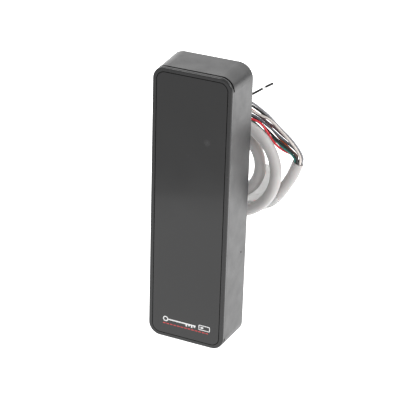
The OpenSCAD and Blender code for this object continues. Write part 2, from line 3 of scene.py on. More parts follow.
import bpy
import numpy as np
from mathutils import Matrix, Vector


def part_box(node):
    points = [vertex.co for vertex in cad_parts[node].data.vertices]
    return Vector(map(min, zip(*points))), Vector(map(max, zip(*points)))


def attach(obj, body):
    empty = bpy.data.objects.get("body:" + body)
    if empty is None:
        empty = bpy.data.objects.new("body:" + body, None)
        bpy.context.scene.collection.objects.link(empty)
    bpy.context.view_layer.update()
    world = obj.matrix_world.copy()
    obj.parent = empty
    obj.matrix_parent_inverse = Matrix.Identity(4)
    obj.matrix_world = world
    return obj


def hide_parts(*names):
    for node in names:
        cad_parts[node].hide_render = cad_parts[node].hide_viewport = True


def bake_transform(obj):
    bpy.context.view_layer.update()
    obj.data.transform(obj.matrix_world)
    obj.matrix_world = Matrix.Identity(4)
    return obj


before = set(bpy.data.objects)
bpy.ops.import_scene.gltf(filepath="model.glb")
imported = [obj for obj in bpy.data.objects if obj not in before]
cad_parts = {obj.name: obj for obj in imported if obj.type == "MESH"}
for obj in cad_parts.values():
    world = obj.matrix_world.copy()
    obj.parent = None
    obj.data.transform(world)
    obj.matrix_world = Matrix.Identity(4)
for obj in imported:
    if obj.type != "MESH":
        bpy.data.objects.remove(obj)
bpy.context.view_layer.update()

# A slim wall reader for access cards, hung on its bracket, with its lead wound behind it.
# Lengths are in metres. The wall is the plane y = 0, the front faces -Y and +Z is up.

MM = 0.001


# ---- Camera, floor and light ----

AIM = (0.00372, -0.01771, 0.00569)
AZIMUTH = math.radians(24.26)
ELEVATION = math.radians(25.88)
ROLL = math.radians(1.77)
CAMERA_DISTANCE = 0.757
LENS = 141.95
SENSOR = 36.0
CLIP_NEAR = 0.01
CLIP_FAR = 20.0


def make_camera():
    """Camera on a long lens, placed by its azimuth, elevation and distance from the point it aims at."""
    flat = math.cos(ELEVATION)
    back = np.array([math.sin(AZIMUTH) * flat, -math.cos(AZIMUTH) * flat, math.sin(ELEVATION)])
    level = np.array([math.cos(AZIMUTH), math.sin(AZIMUTH), 0.0])
    upright = np.cross(back, level)
    right = math.cos(ROLL) * level + math.sin(ROLL) * upright
    up = math.cos(ROLL) * upright - math.sin(ROLL) * level
    data = bpy.data.cameras.new("reader_camera")
    data.lens = LENS
    data.sensor_width = SENSOR
    data.clip_start = CLIP_NEAR
    data.clip_end = CLIP_FAR
    camera = bpy.data.objects.new("reader_camera", data)
    place = np.eye(4)
    place[:3, 0] = right
    place[:3, 1] = up
    place[:3, 2] = back
    place[:3, 3] = np.array(AIM) + CAMERA_DISTANCE * back
    camera.matrix_world = Matrix(place.tolist())
    bpy.context.scene.collection.objects.link(camera)
    bpy.context.scene.camera = camera
    return camera


# ---- Node helpers ----

# Sockets of the Mix node when it mixes colours
MIX_SHARE = 0
MIX_FIRST = 6
MIX_SECOND = 7
MIX_RESULT = 2


def ranged(tree, value, low, high, start, end):
    """The value's range from start to end carried to low and high."""
    made = tree.nodes.new("ShaderNodeMapRange")
    made.inputs["From Min"].default_value = start
    made.inputs["From Max"].default_value = end
    made.inputs["To Min"].default_value = low
    made.inputs["To Max"].default_value = high
    tree.links.new(value, made.inputs["Value"])
    return made.outputs["Result"]


class Finish:
    """A new material with its shader, and short ways to add what feeds it."""

    def __init__(self, name, **constants):
        self.material = bpy.data.materials.new(name)
        self.material.use_nodes = True
        self.tree = self.material.node_tree
        self.shader = self.tree.nodes["Principled BSDF"]
        for socket, value in constants.items():
            self.shader.inputs[socket.replace("_", " ")].default_value = value
        self.coords = self.tree.nodes.new("ShaderNodeTexCoord")

    def place(self, source="Object", scale=(1, 1, 1), centre=(0, 0, 0), turn=(0, 0, 0)):
        """Coordinates of the surface, moved, turned and scaled."""
        mapping = self.tree.nodes.new("ShaderNodeMapping")
        mapping.inputs["Scale"].default_value = scale
        mapping.inputs["Location"].default_value = [-c * s for c, s in zip(centre, scale)]
        mapping.inputs["Rotation"].default_value = turn
        self.tree.links.new(self.coords.outputs[source], mapping.inputs["Vector"])
        return mapping.outputs["Vector"]

    def noise(self, vector, scale, detail=3.0, roughness=0.5):
        """Smooth noise from 0 to 1."""
        made = self.tree.nodes.new("ShaderNodeTexNoise")
        made.inputs["Scale"].default_value = scale
        made.inputs["Detail"].default_value = detail
        made.inputs["Roughness"].default_value = roughness
        self.tree.links.new(vector, made.inputs["Vector"])
        return made.outputs["Fac"]

    def cells(self, vector, scale):
        """Distance to the nearest of many scattered points."""
        made = self.tree.nodes.new("ShaderNodeTexVoronoi")
        made.inputs["Scale"].default_value = scale
        self.tree.links.new(vector, made.inputs["Vector"])
        return made.outputs["Distance"]

    def bands(self, vector, scale, distortion=0.0, direction="X"):
        """Soft bands across one direction."""
        made = self.tree.nodes.new("ShaderNodeTexWave")
        made.bands_direction = direction
        made.inputs["Scale"].default_value = scale
        made.inputs["Distortion"].default_value = distortion
        made.inputs["Detail"].default_value = 1.0
        self.tree.links.new(vector, made.inputs["Vector"])
        return made.outputs["Fac"]

    def spread(self, value, low, high, start=0.3, end=0.7):
        """The value's range from start to end carried to low and high."""
        return ranged(self.tree, value, low, high, start, end)

    def length(self, vector):
        """Length of a vector."""
        made = self.tree.nodes.new("ShaderNodeVectorMath")
        made.operation = "LENGTH"
        self.tree.links.new(vector, made.inputs[0])
        return made.outputs["Value"]

    def product(self, first, second):
        """Two values multiplied."""
        made = self.tree.nodes.new("ShaderNodeMath")
        made.operation = "MULTIPLY"
        self.tree.links.new(first, made.inputs[0])
        self.tree.links.new(second, made.inputs[1])
        return made.outputs["Value"]

    def mixed(self, share, first, second):
        """A colour between two, each a colour or a socket."""
        made = self.tree.nodes.new("ShaderNodeMix")
        made.data_type = "RGBA"
        self.tree.links.new(share, made.inputs[MIX_SHARE])
        for socket, colour in ((made.inputs[MIX_FIRST], first), (made.inputs[MIX_SECOND], second)):
            if isinstance(colour, bpy.types.NodeSocket):
                self.tree.links.new(colour, socket)
            else:
                socket.default_value = (*colour, 1.0)
        return made.outputs[MIX_RESULT]

    def tones(self, value, dark, light):
        """A colour that goes from dark to light over the middle of the value's range."""
        return self.mixed(self.spread(value, 0.0, 1.0), dark, light)

    def colour(self, socket):
        """Feeds the base colour."""
        self.tree.links.new(socket, self.shader.inputs["Base Color"])

    def roughness(self, socket):
        """Feeds the roughness."""
        self.tree.links.new(socket, self.shader.inputs["Roughness"])

    def relief(self, height, depth, strength=1.0, under=None):
        """Bump of a true depth in metres, over an earlier bump if there is one."""
        made = self.tree.nodes.new("ShaderNodeBump")
        made.inputs["Strength"].default_value = strength
        made.inputs["Distance"].default_value = depth
        self.tree.links.new(height, made.inputs["Height"])
        if under is not None:
            self.tree.links.new(under, made.inputs["Normal"])
        return made.outputs["Normal"]

    def shape(self, socket):
        """Feeds the normal."""
        self.tree.links.new(socket, self.shader.inputs["Normal"])


def moulded(name, dark, light, rough=(0.35, 0.5), grain=4000.0, depth=0.00002, **constants):
    """Moulded plastic: slow changes of tone and gloss, and a fine grain in relief."""
    made = Finish(name, **constants)
    place = made.place()
    made.colour(made.tones(made.noise(place, 60.0), dark, light))
    made.roughness(made.spread(made.noise(place, 170.0, 4.0), *rough))
    made.shape(made.relief(made.noise(place, grain, 2.0), depth, 0.4))
    return made


# ---- Finishes ----

# The painted shade in the seam behind the bezel: its middle and half width in y, and how far up and down
# it starts
SEAM_Y = -21.2 * MM
SEAM_HALF = 1.08 * MM
SEAM_ENDS = 65.5 * MM
SEAM_FADE = 0.06 * MM
SEAM_ENDS_FADE = 0.2 * MM


def painted_seam_shade(made):
    """Painted shade: 1 inside the seam at the top and the foot of the case, 0 elsewhere."""
    off = made.length(made.place(scale=(0, 1, 0), centre=(0, SEAM_Y, 0)))
    height = made.length(made.place(scale=(0, 0, 1)))
    return made.product(made.spread(off, 1.0, 0.0, SEAM_HALF, SEAM_HALF + SEAM_FADE),
                        made.spread(height, 0.0, 1.0, SEAM_ENDS, SEAM_ENDS + SEAM_ENDS_FADE))


def case_plastic():
    """Black moulding with a fine spark-eroded grain and specks of dust, with shade painted inside its
    seam: darker there and with weaker reflections.
    """
    made = Finish("case_plastic", IOR=1.52)
    place = made.place()
    # Painted shade: inside the seam the colour goes near black and the reflections are turned down.
    seam = painted_seam_shade(made)
    made.tree.links.new(made.spread(seam, 0.66, 0.05, 0.0, 1.0), made.shader.inputs["Specular IOR Level"])
    tone = made.tones(made.noise(place, 45.0), (0.018, 0.018, 0.0185), (0.023, 0.023, 0.0235))
    dust = made.spread(made.cells(place, 330.0), 1.0, 0.0, 0.03, 0.07)
    made.colour(made.mixed(seam, made.mixed(dust, tone, (0.09, 0.088, 0.085)), (0.004, 0.004, 0.004)))
    made.roughness(made.spread(made.noise(place, 140.0, 4.0), 0.36, 0.46))
    made.shape(made.relief(made.noise(place, 3600.0, 2.0), 0.00003, 0.35))
    return made.material


def bezel_plastic():
    """Smoother black moulding of the frame round the panel."""
    made = moulded("bezel_plastic", (0.014, 0.014, 0.0145), (0.019, 0.019, 0.0195),
                   rough=(0.2, 0.28), grain=3000.0, depth=0.00001, IOR=1.5)
    return made.material


# The window over the status light: its middle, and where its rim starts and ends
LED_X = 8.6 * MM
LED_Z = 38.4 * MM
WINDOW_CORE = 0.2 * MM
WINDOW_RIM = 2.1 * MM


def panel_gloss():
    """Polished smoked panel with a faint round window over the status light, and handling marks."""
    made = Finish("panel_gloss", IOR=1.5, Coat_Weight=0.2, Coat_Roughness=0.04)
    place = made.place()
    window = made.length(made.place(scale=(1, 0, 1), centre=(LED_X, 0, LED_Z)))
    lens = made.spread(window, 0.75, 0.0, WINDOW_CORE, WINDOW_RIM)
    tone = made.tones(made.noise(place, 25.0), (0.0052, 0.0052, 0.0055), (0.0078, 0.0078, 0.0082))
    dust = made.spread(made.cells(place, 210.0), 0.8, 0.0, 0.015, 0.04)
    made.colour(made.mixed(dust, made.mixed(lens, tone, (0.035, 0.035, 0.036)), (0.07, 0.07, 0.07)))
    made.roughness(made.spread(made.noise(place, 55.0, 5.0), 0.08, 0.16))
    made.shape(made.relief(made.noise(place, 90.0, 1.0), 0.00004, 0.08))
    return made.material


def jacket_vinyl():
    """Pale grey vinyl jacket: faint streaks along the cable and a soft bumpy lay."""
    made = Finish("jacket_vinyl", IOR=1.5, Subsurface_Weight=0.06, Subsurface_Scale=0.001)
    along = made.place("UV", scale=(6.0, 40.0, 1.0))
    place = made.place()
    tone = made.tones(made.noise(place, 110.0, 4.0), (0.43, 0.415, 0.408), (0.49, 0.474, 0.467))
    scuff = made.spread(made.noise(along, 3.0, 5.0, 0.7), 0.0, 0.35, 0.6, 0.8)
    made.colour(made.mixed(scuff, tone, (0.40, 0.38, 0.37)))
    made.roughness(made.spread(made.noise(place, 260.0, 3.0), 0.36, 0.5))
    lay = made.relief(made.noise(along, 1.6, 1.0), 0.00012, 0.35)
    made.shape(made.relief(made.noise(place, 1500.0, 3.0), 0.00004, 0.3, lay))
    return made.material


def insulation(name, colour, rough=0.32):
    """Thin vinyl insulation in one colour, with a slow change of tone and faint drawing lines."""
    made = Finish(name, IOR=1.5)
    along = made.place("UV", scale=(8.0, 120.0, 1.0))
    deeper = [c * 0.72 for c in colour]
    made.colour(made.tones(made.noise(along, 1.2, 3.0), deeper, colour))
    made.roughness(made.spread(made.noise(along, 4.0), rough - 0.06, rough + 0.08))
    made.shape(made.relief(made.noise(along, 2.5, 2.0), 0.00003, 0.4))
    return made.material


def tinned_copper():
    """Bare tinned strands."""
    made = Finish("tinned_copper", Metallic=1.0)
    place = made.place()
    made.colour(made.tones(made.noise(place, 900.0), (0.82, 0.82, 0.80), (0.93, 0.93, 0.92)))
    made.roughness(made.spread(made.noise(place, 2500.0), 0.18, 0.34))
    made.shape(made.relief(made.noise(place, 4000.0), 0.00001, 0.4))
    return made.material


def label_paper():
    """Blank white label stock with a faint fibre."""
    made = Finish("label_paper", IOR=1.12, Transmission_Weight=0.66)
    place = made.place()
    made.colour(made.tones(made.noise(place, 300.0, 5.0), (0.81, 0.81, 0.805), (0.88, 0.88, 0.875)))
    made.roughness(made.spread(made.noise(place, 700.0), 0.7, 0.85))
    made.shape(made.relief(made.noise(place, 1800.0, 4.0), 0.00003, 0.4))
    return made.material


def plated_steel():
    """Zinc-plated steel: a faint rolled grain and cloudy spangle."""
    made = Finish("plated_steel", Metallic=1.0)
    rolled = made.place(scale=(1.0, 1.0, 0.06))
    place = made.place()
    made.colour(made.tones(made.noise(place, 80.0, 4.0), (0.50, 0.51, 0.525), (0.66, 0.67, 0.68)))
    made.roughness(made.spread(made.noise(rolled, 1600.0, 3.0), 0.26, 0.44))
    made.shape(made.relief(made.noise(rolled, 2600.0, 2.0), 0.00001, 0.35))
    return made.material


def knurled_brass():
    """Turned brass with fine ridges."""
    made = Finish("knurled_brass", Metallic=1.0)
    place = made.place()
    made.colour(made.tones(made.noise(place, 400.0), (0.62, 0.44, 0.18), (0.76, 0.58, 0.28)))
    made.roughness(made.spread(made.noise(place, 900.0), 0.25, 0.4))
    made.shape(made.relief(made.bands(place, 700.0, direction="DIAGONAL"), 0.00008, 0.6))
    return made.material


def rubber(name, dark, light):
    """Soft rubber: dull, with a fine skin."""
    made = moulded(name, dark, light, rough=(0.6, 0.78), grain=1800.0, depth=0.00005, IOR=1.5)
    return made.material


def drawn_aluminium():
    """Drawn can with fine upright lines."""
    made = Finish("drawn_aluminium", Metallic=1.0)
    lines = made.place(scale=(1.0, 0.05, 1.0))
    made.colour(made.tones(made.noise(lines, 1500.0), (0.68, 0.68, 0.70), (0.80, 0.80, 0.82)))
    made.roughness(made.spread(made.noise(lines, 900.0), 0.2, 0.34))
    made.shape(made.relief(made.noise(lines, 3000.0), 0.00001, 0.4))
    return made.material


def clear_acrylic():
    """Clear light pipe with slight flow marks."""
    made = Finish("clear_acrylic", IOR=1.49, Transmission_Weight=0.9)
    place = made.place()
    made.colour(made.tones(made.noise(place, 200.0), (0.88, 0.93, 0.97), (0.95, 0.98, 1.0)))
    made.roughness(made.spread(made.noise(place, 500.0), 0.04, 0.12))
    return made.material


def solder_mask():
    """Circuit board: green mask over fine copper runs, which show as lighter raised lines."""
    made = Finish("solder_mask", IOR=1.5, Coat_Weight=0.3)
    place = made.place(scale=(1.0, 0.0, 1.0))
    runs = made.spread(made.bands(place, 190.0, 6.0, "DIAGONAL"), 0.0, 1.0, 0.55, 0.65)
    tone = made.tones(made.noise(place, 90.0), (0.008, 0.09, 0.04), (0.012, 0.13, 0.06))
    made.colour(made.mixed(runs, tone, (0.03, 0.22, 0.10)))
    made.roughness(made.spread(made.noise(place, 300.0), 0.2, 0.34))
    made.shape(made.relief(runs, 0.00004, 0.5))
    return made.material


def wound_copper():
    """Enamelled wire laid turn beside turn, with painted shade: the colour darkens into the grooves
    between turns.
    """
    made = Finish("wound_copper", Metallic=1.0, Coat_Weight=0.5)
    place = made.place()
    turns = made.bands(place, 1300.0, 0.4, "Y")
    # Painted shade: dark in the grooves between turns, light on their crowns; the same bands give the
    # relief.
    made.colour(made.mixed(turns, (0.30, 0.10, 0.035), (0.80, 0.38, 0.16)))
    made.roughness(made.spread(made.noise(place, 700.0), 0.22, 0.36))
    made.shape(made.relief(turns, 0.00008, 0.8))
    return made.material


def printed(name, colour):
    """Pad-printed ink with a slightly uneven coat."""
    made = Finish(name, IOR=1.45)
    place = made.place()
    thinner = [c * 0.86 for c in colour]
    made.colour(made.tones(made.noise(place, 1500.0), thinner, colour))
    made.roughness(made.spread(made.noise(place, 2000.0), 0.35, 0.5))
    return made.material


# ---- Surfaces ----

def add_mesh(name, points, faces, materials, smooth=True, sharp=math.radians(38), uv=None):
    """A mesh object at the origin from points and faces, with its edges sharper than sharp left hard."""
    mesh = bpy.data.meshes.new(name)
    mesh.from_pydata(points.tolist(), [], faces)
    mesh.polygons.foreach_set("use_smooth", np.full(len(mesh.polygons), smooth))
    if uv is not None:
        layer = mesh.uv_layers.new(name="along")
        layer.data.foreach_set("uv", uv.astype(np.float32).ravel())
    mesh.update()
    mesh.set_sharp_from_angle(angle=sharp)
    for material in materials:
        mesh.materials.append(material)
    made = bpy.data.objects.new(name, mesh)
    bpy.context.scene.collection.objects.link(made)
    return made


def smooth_route(points, steps):
    """Catmull-Rom line through the points, with a number of steps for each span.

    Past both ends the points are carried straight on.
    """
    p = np.vstack([2 * points[0] - points[1], points, 2 * points[-1] - points[-2]])
    t = (np.arange(steps) / steps)[None, :, None]
    a, b, c, d = (p[i : len(p) - 3 + i, None, :] for i in range(4))
    line = 0.5 * (2 * b + (c - a) * t + (2 * a - 5 * b + 4 * c - d) * t**2
                  + (3 * b - a - 3 * c + d) * t**3)
    return np.vstack([line.reshape(-1, 3), points[-1:]])


def arc_length(line):
    """Distance along a line at each of its points."""
    return np.concatenate([[0.0], np.cumsum(np.linalg.norm(np.diff(line, axis=0), axis=1))])


def at_distance(line, distances):
    """Points of a line at distances along it."""
    along = arc_length(line)
    return np.stack([np.interp(distances, along, line[:, i]) for i in range(3)], axis=1)


def carried_frames(line):
    """Tangent, side and cross vector at each point of a line; the side is carried on without twist."""
    tangent = np.gradient(line, axis=0)
    tangent /= np.linalg.norm(tangent, axis=1)[:, None]
    side = np.empty_like(line)
    last = np.array([1.0, 0.0, 0.0]) if abs(tangent[0, 0]) < 0.9 else np.array([0.0, 0.0, 1.0])
    for i, ahead in enumerate(tangent):
        last = last - (last @ ahead) * ahead
        last /= np.linalg.norm(last)
        side[i] = last
    return tangent, side, np.cross(tangent, side)


def at_distance_of(line, values, distances):
    """Unit vectors kept along a line, read at distances along it."""
    along = arc_length(line)
    found = np.stack([np.interp(distances, along, values[:, i]) for i in range(3)], axis=1)
    return found / np.linalg.norm(found, axis=1)[:, None]


def sleeve(name, line, radius, materials, distance, frames_from=None, rows=None):
    """Closed skin about a line: radius[station, angle] is how far it stands off, square to the line.

    Where the skin turns back inside itself, the stations' directions come from frames_from, the line
    that is followed, and distance says where on it each station is. Both ends close with a fan. The UV
    map holds the turn about the line and the distance along it; rows gives each station's material.
    """
    stations, sides = radius.shape
    guide = line if frames_from is None else frames_from
    _, side, cross = carried_frames(guide)
    side, cross = (at_distance_of(guide, v, distance) for v in (side, cross))
    angle = 2 * math.pi * np.arange(sides) / sides
    spokes = np.cos(angle)[None, :, None] * side[:, None, :]
    spokes = spokes + np.sin(angle)[None, :, None] * cross[:, None, :]
    points = line[:, None, :] + radius[:, :, None] * spokes
    points = np.vstack([points.reshape(-1, 3), line[:1], line[-1:]])
    k, j = np.meshgrid(np.arange(stations - 1), np.arange(sides), indexing="ij")
    after = (j + 1) % sides
    quads = np.stack([k * sides + j, k * sides + after, (k + 1) * sides + after,
                      (k + 1) * sides + j], axis=-1).reshape(-1, 4)
    ring = np.arange(sides)
    beside = (ring + 1) % sides
    last = (stations - 1) * sides
    start = np.stack([beside, ring, np.full(sides, stations * sides)], axis=1)
    end = np.stack([last + ring, last + beside, np.full(sides, stations * sides + 1)], axis=1)
    turn = np.stack([j, j + 1, j + 1, j], axis=-1).reshape(-1) / sides
    reach = distance[np.stack([k, k, k + 1, k + 1], axis=-1).reshape(-1)]
    fans = np.zeros((6 * sides, 2))
    fans[: 3 * sides, 1] = distance[0]
    fans[3 * sides :, 1] = distance[-1]
    made = add_mesh(name, points, quads.tolist() + start.tolist() + end.tolist(), materials,
                    uv=np.vstack([np.stack([turn, reach], axis=1), fans]))
    if rows is not None:
        index = np.concatenate([np.repeat(rows[:-1], sides), np.repeat(rows[[0, -1]], sides)])
        made.data.polygons.foreach_set("material_index", index.astype(np.int32))
    return made


def eased(at, known, values):
    """Monotone cubic through known values; an inner slope is the harmonic mean of its spans' slopes."""
    span = np.diff(known)
    slope = np.diff(values) / span
    same = slope[:-1] * slope[1:] > 0
    safe = np.where(same, slope[:-1] + slope[1:], 1.0)
    inner = np.where(same, 2 * slope[:-1] * slope[1:] / safe, 0.0)
    tilt = np.concatenate([slope[:1], inner, slope[-1:]])
    i = np.clip(np.searchsorted(known, at, side="right") - 1, 0, len(span) - 1)
    t = (at - known[i]) / span[i]
    return (values[i] * (1 + 2 * t) * (1 - t) ** 2 + values[i + 1] * t**2 * (3 - 2 * t)
            + span[i] * (tilt[i] * t * (1 - t) ** 2 - tilt[i + 1] * t**2 * (1 - t)))


# ---- Cable ----

CABLE_D = 5.8 * MM
WIRE_D = 1.2 * MM
JACKET_WALL = 0.5 * MM
LEAD_ROUTE = MM * np.array([
    [-8, -0.9, 54], [-8, 4, 54], [-8.1, 9.2, 52.9], [-8.6, 13.6, 49.6], [-9.6, 16.2, 44.6],
    [-11, 16.6, 39], [-12.8, 15.2, 33], [-14.8, 12.4, 26.8], [-16.4, 10.6, 20.4], [-17.2, 10, 13.5]])
MOUTH = MM * np.array([40.2, 16, 19.9])
MOUTH_SIDE = np.array([0.94, 0, -0.342])
TAIL_ROUTE = MM * np.array([
    [4.4, 17.8, -10.2], [10.6, 17.4, -11], [16.8, 16.8, -9.6], [22.4, 16.4, -6.6], [27.4, 16, -3.2],
    [31, 16, 0.8], [34.2, 16, 6], [37.4, 16, 12.2], [40.2, 16, 19.9]])
# The winding: angle in degrees, the turn's centre x and z, its radius, and its depth behind the wall
WINDING = np.array([
    [180, 7, 13.5, 24.2, 10], [270, 7, 13.5, 24.2, 10], [360, 7, 13.5, 24.2, 10],
    [430, 7, 13.5, 24.2, 10], [470, 6.4, 13.8, 21.8, 10.6], [505, 5.2, 14.2, 18, 12],
    [540, 4.6, 14.3, 17, 12.8], [600, 4.4, 14.3, 17, 13.4], [720, 4.4, 14.3, 17, 13.5],
    [800, 4.4, 14.3, 17, 14.4], [840, 4.4, 14.3, 17, 16.8], [880, 4.4, 14.3, 17.4, 18.6],
    [915, 4.4, 14.3, 18.8, 19], [950, 4.4, 14.3, 21.4, 18.6], [990, 4.4, 14.3, 24.5, 17.8]])
TURN_STEP = 10.0
CABLE_STEPS = 6
# The lay of the cores shows through the jacket: how many there are, their rise and their pitch
LAY_LOBES = 3
LAY_RISE = 0.006
LAY_PITCH = 6 * MM
JACKET_SIDES = 28
LIP = 0.6 * MM


def winding_points():
    """Centreline of the turns: a circle whose centre, radius and depth change slowly with the angle."""
    angle = np.arange(WINDING[0, 0] + TURN_STEP, WINDING[-1, 0] - TURN_STEP / 2, TURN_STEP)
    x, z, radius, depth = (eased(angle, WINDING[:, 0], WINDING[:, i]) for i in range(1, 5))
    turn = np.radians(angle)
    return MM * np.stack([x + radius * np.cos(turn), depth, z + radius * np.sin(turn)], axis=1)


def cable_line():
    """The whole centreline, from the grommet through the winding to the cut end."""
    return smooth_route(np.vstack([LEAD_ROUTE, winding_points(), TAIL_ROUTE]), CABLE_STEPS)


def around(sides):
    """Angles of a ring's corners, as a row."""
    return (2 * math.pi * np.arange(sides) / sides)[None, :]


def make_jacket(line):
    """Jacket: a round skin along the cable, the rounded lip of the cut and the wall inside it."""
    radius = CABLE_D / 2
    along = arc_length(line)
    end = along[-1]
    outside = along[along < end - LIP]
    lip = end - MM * np.array([0.4, 0.15, 0.04, 0.0, 0.0, 0.05, 0.2])
    lip_radius = radius - MM * np.array([0.0, 0.0, 0.05, 0.14, 0.38, 0.47, 0.5])
    inside = end - MM * np.array([1.0, 2.5, 4.5, 7.0])
    distance = np.concatenate([outside, lip, inside])
    base = np.concatenate([np.full(len(outside), radius), lip_radius,
                           np.full(len(inside), radius - JACKET_WALL)])
    lay = 1 + LAY_RISE * np.cos(LAY_LOBES * around(JACKET_SIDES) - distance[:, None] / LAY_PITCH)
    made = sleeve("cable_jacket", at_distance(line, distance), base[:, None] * lay,
                  [jacket_vinyl()], frames_from=line, distance=distance)
    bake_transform(made)
    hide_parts("cable_lead", "cable_coil", "cable_tail")
    return made


# Conductors: angle of the seat in the mouth (90 is away from the front), its radius, and the route
RING_SEAT = 1.8 * MM
PAIR_SEAT = 0.6 * MM
CONDUCTORS = {
    "grey": (0, RING_SEAT, [
        [42.2, 16.2, 22.6], [40.1, 16.4, 26.2], [35.7, 16.6, 30.8], [29.9, 16.8, 35.2],
        [24.2, 16.8, 40], [20, 16.6, 43], [14, 16.4, 46.2], [6, 16.6, 48.6], [-3, 18.6, 50],
        [-12, 21, 49.6]]),
    "white": (315, RING_SEAT, [
        [41.6, 14.7, 22.6], [39.8, 14.8, 26.2], [35.6, 15, 30.6], [30.4, 15.2, 35], [25, 15.4, 39],
        [20.4, 15.4, 40.6], [14, 15.2, 42.4], [5, 15.4, 44], [-4, 18, 45.2], [-13, 21, 45]]),
    "brown": (45, RING_SEAT, [
        [41.4, 17.6, 22.4], [39.2, 17.8, 25.8], [35, 17.4, 29.2], [30.6, 16.4, 32.6],
        [26.4, 15.8, 35.9], [22.2, 15.7, 38.3], [16, 16.6, 40.8], [8, 17.2, 42.4], [-3, 19, 42],
        [-12, 21.2, 40.8]]),
    "slate": (22.5, PAIR_SEAT, [
        [40.9, 16.2, 22.6], [38.6, 16.2, 25.8], [34, 15.6, 29.2], [29.8, 14.9, 32.3],
        [24.5, 14.6, 36], [17, 14.8, 39.9], [9, 15.2, 41.2], [1, 17.2, 40.6], [-5, 19, 39.4],
        [-13, 21, 38.4]]),
    "black": (270, RING_SEAT, [
        [40.2, 13.9, 22.6], [38, 13.8, 25.4], [32, 14, 28.8], [28, 14.4, 31.2], [24, 15.2, 33.7],
        [19.6, 15.6, 36.6], [15, 16.4, 38.8], [7, 17, 39], [-3, 18.8, 37.4], [-12, 21, 36]]),
    "orange": (202.5, PAIR_SEAT, [
        [39.4, 15.6, 22.6], [37, 15.6, 25.2], [32.6, 15.6, 28.6], [28, 16.2, 32], [23, 17, 36.2],
        [19.6, 17.9, 38.9], [14, 18.4, 41.2], [5, 19, 44.4], [-4, 20.2, 46.6], [-12, 21.2, 47.2]]),
    "red": (180, RING_SEAT, [
        [38.2, 16, 22.4], [36.2, 15.6, 23.8], [33.2, 14.8, 25], [30, 13.8, 27.1], [27, 13.8, 29.7],
        [25, 13.8, 32.3], [23.1, 13.8, 34.7], [21.1, 13.8, 36.7], [18.2, 13.8, 38.1],
        [13, 14, 38.6], [4, 14.6, 37.2], [-4, 17.6, 35.4], [-13, 21, 33.8]]),
    "green": (225, RING_SEAT, [
        [38.6, 14.4, 22.6], [36.2, 14.2, 25], [32.4, 14.2, 27], [28.6, 14.8, 29.2],
        [24.8, 15.4, 31], [21.2, 15.8, 32.8], [18, 16.2, 34.7], [12, 17.7, 36.8], [3, 18, 35.8],
        [-5, 19, 33.8], [-13, 21, 32]]),
    "yellow": (135, RING_SEAT, [
        [38.6, 17.6, 22.4], [35.8, 17.8, 24.4], [31.6, 17.8, 26.2], [27, 17.8, 28],
        [22.7, 17.8, 29.7], [19.6, 17.8, 31.8], [14, 18.2, 34.6], [5, 19, 34.2], [-4, 20.2, 32.2],
        [-13, 21.2, 30.2]]),
    "sleeved": (90, RING_SEAT, [
        [40.2, 18.4, 22.6], [37.6, 18.9, 25.4], [33, 18.9, 29.4], [28.6, 18.7, 33.2],
        [24.6, 18.4, 37], [20.3, 17.7, 40.5], [14.3, 17.4, 43.8], [8.5, 16.6, 45.7],
        [4.6, 14.6, 46.8], [4.2, 11.8, 47.4], [8, 10.2, 48.4], [13.4, 10, 51], [18.3, 10, 54.2],
        [23.5, 10, 58.1], [27.3, 10, 60.7]]),
}
WIRE_COLOURS = {
    "grey": (0.33, 0.33, 0.35), "white": (0.76, 0.70, 0.66), "brown": (0.15, 0.085, 0.10),
    "slate": (0.12, 0.13, 0.15), "black": (0.022, 0.022, 0.022), "orange": (0.62, 0.12, 0.04),
    "red": (0.88, 0.045, 0.065), "green": (0.05, 0.28, 0.24), "yellow": (0.62, 0.42, 0.03),
    "sleeved": (0.018, 0.018, 0.018),
}
WIRE_STEPS = 10
WIRE_SIDES = 14
# The stripped end: the slug of insulation, the bared gap, and the strands' radius, number and lay
SLUG = 4.5 * MM
BARE = 1.8 * MM
STRANDS_R = 0.32 * MM
STRANDS = 7
STRANDS_RISE = 0.16
STRANDS_PITCH = 0.35 * MM
# How the insulation rounds off at the gap and at the tip, as shares of its radius
SHOULDER_ROUND = np.array([1.0, 0.94, 0.84])
TIP_ROUND = np.array([1.0, 0.93, 0.8, 0.4])


def stripped_end(end):
    """Distances along a conductor and its radius at each: covered, bared, the slug and the tip."""
    radius = WIRE_D / 2
    gap = end - SLUG - BARE
    covered = np.linspace(0.0, gap - 0.5 * MM, 90)
    shoulder = gap + MM * np.array([-0.3, -0.08, 0.0, 0.0])
    bared = gap + BARE * np.linspace(0.0, 1.0, 9)
    slug = end - SLUG + MM * np.array([0.0, 0.0, 0.08, 0.3])
    rest = end - SLUG + (SLUG - 0.3 * MM) * np.linspace(0.15, 1.0, 5)
    tip = end - MM * np.array([0.12, 0.03, 0.0, 0.0])
    distance = np.concatenate([covered, shoulder, bared, slug, rest, tip])
    rounded = np.append(SHOULDER_ROUND * radius, STRANDS_R)
    base = np.concatenate([np.full(len(covered), radius), rounded, np.full(len(bared), STRANDS_R),
                           rounded[::-1], np.full(len(rest), radius), TIP_ROUND * radius])
    return distance, base


def make_conductor(colour, ink, strand):
    """One conductor: insulation, a bared gap with twisted strands, and the slug left on the end."""
    degrees, reach, route = CONDUCTORS[colour]
    seat = math.radians(degrees)
    mouth = MOUTH + reach * (math.cos(seat) * MOUTH_SIDE + math.sin(seat) * np.array([0, 1, 0]))
    line = smooth_route(np.vstack([mouth, MM * np.array(route)]), WIRE_STEPS)
    end = arc_length(line)[-1]
    distance, base = stripped_end(end)
    bare = np.isclose(base, STRANDS_R)
    twist = STRANDS * around(WIRE_SIDES) + distance[:, None] / STRANDS_PITCH
    shape = base[:, None] * np.where(bare[:, None], 1 + STRANDS_RISE * np.cos(twist), 1.0)
    made = sleeve("conductor_" + colour, at_distance(line, distance), shape, [ink, strand],
                  distance=distance, frames_from=line, rows=bare.astype(int))
    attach(made, "bracket")
    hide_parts("wire_" + colour)
    return made


